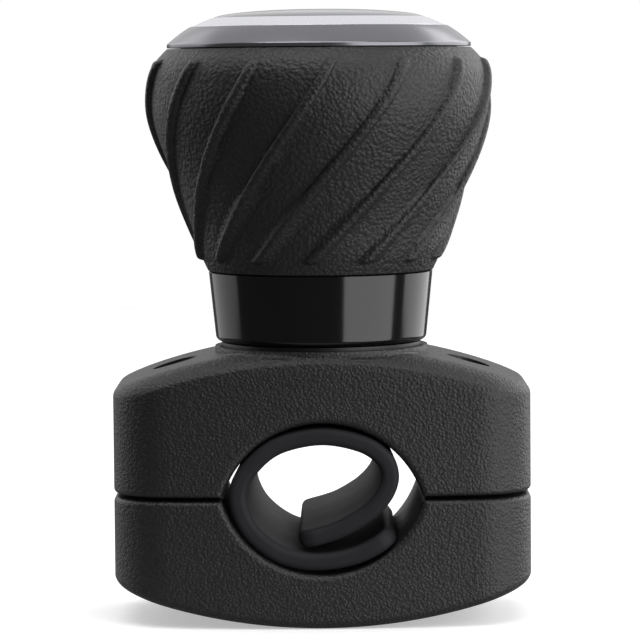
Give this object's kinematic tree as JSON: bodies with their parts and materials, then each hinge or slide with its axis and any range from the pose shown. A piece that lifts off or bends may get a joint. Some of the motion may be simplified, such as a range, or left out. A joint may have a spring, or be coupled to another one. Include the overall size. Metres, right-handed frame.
{
  "type": "steering wheel spinner knob",
  "caption": "Rubber covered spinner knob that turns on ball bearings above a split clamp for a steering wheel's rim.",
  "frame": {"origin": "centre of the rim opening, on the clamp's parting plane", "axes": "+Z along the knob's spin axis, away from the clamp; +Y along the wheel's rim through the opening; +X across the two clamp screws"},
  "size_m": [0.0686, 0.0578, 0.1007],
  "materials": {
    "grained_plastic": "moulded black nylon with a fine pebble grain",
    "black_steel": "black oxide steel",
    "zinc_steel": "zinc plated steel",
    "strip_rubber": "smooth dark rubber strip",
    "black_nylon": "thin black nylon washer",
    "bearing_steel": "ground bearing steel",
    "cage_brass": "drilled brass cage",
    "gloss_core": "gloss black ABS",
    "grip_rubber": "soft black rubber with a leather grain",
    "gloss_bezel": "gloss dark grey plastic",
    "silver_trim": "satin silver plated plastic ring",
    "dome_disc": "plain silver domed disc with a clear gloss"
  },
  "bodies": {
    "clamp": {"clamp_upper": "grained_plastic", "clamp_lower": "grained_plastic", "clamp_screw_left": "black_steel", "clamp_screw_right": "black_steel", "clamp_nut_left": "zinc_steel", "clamp_nut_right": "zinc_steel", "rubber_strip": "strip_rubber", "spindle_bolt": "zinc_steel", "seat_washer": "black_nylon", "lower_spacer": "zinc_steel", "middle_spacer": "zinc_steel", "top_washer": "zinc_steel", "lock_nut": "zinc_steel", "lower_inner_race": "bearing_steel", "upper_inner_race": "bearing_steel"},
    "knob": {"knob_core": "gloss_core", "rubber_grip": "grip_rubber", "top_bezel": "gloss_bezel", "silver_ring": "silver_trim", "emblem_dome": "dome_disc", "lower_outer_race": "bearing_steel", "upper_outer_race": "bearing_steel", "retaining_ring": "black_steel"},
    "lower_ball_train": {"lower_balls": "bearing_steel", "lower_cage": "cage_brass"},
    "upper_ball_train": {"upper_balls": "bearing_steel", "upper_cage": "cage_brass"}
  },
  "joints": [
    {"name": "knob_spin", "type": "hinge", "parent": "clamp", "child": "knob", "pos_m": [0, 0, 0.05], "axis": [0, 0, 1], "continuous": true},
    {"name": "lower_cage_spin", "type": "hinge", "parent": "clamp", "child": "lower_ball_train", "pos_m": [0, 0, 0.03075], "axis": [0, 0, 1], "continuous": true},
    {"name": "upper_cage_spin", "type": "hinge", "parent": "clamp", "child": "upper_ball_train", "pos_m": [0, 0, 0.05275], "axis": [0, 0, 1], "continuous": true}
  ],
  "couplings": [
    {"joint": "lower_cage_spin", "follows": "knob_spin", "ratio": 0.63},
    {"joint": "upper_cage_spin", "follows": "knob_spin", "ratio": 0.63}
  ]
}
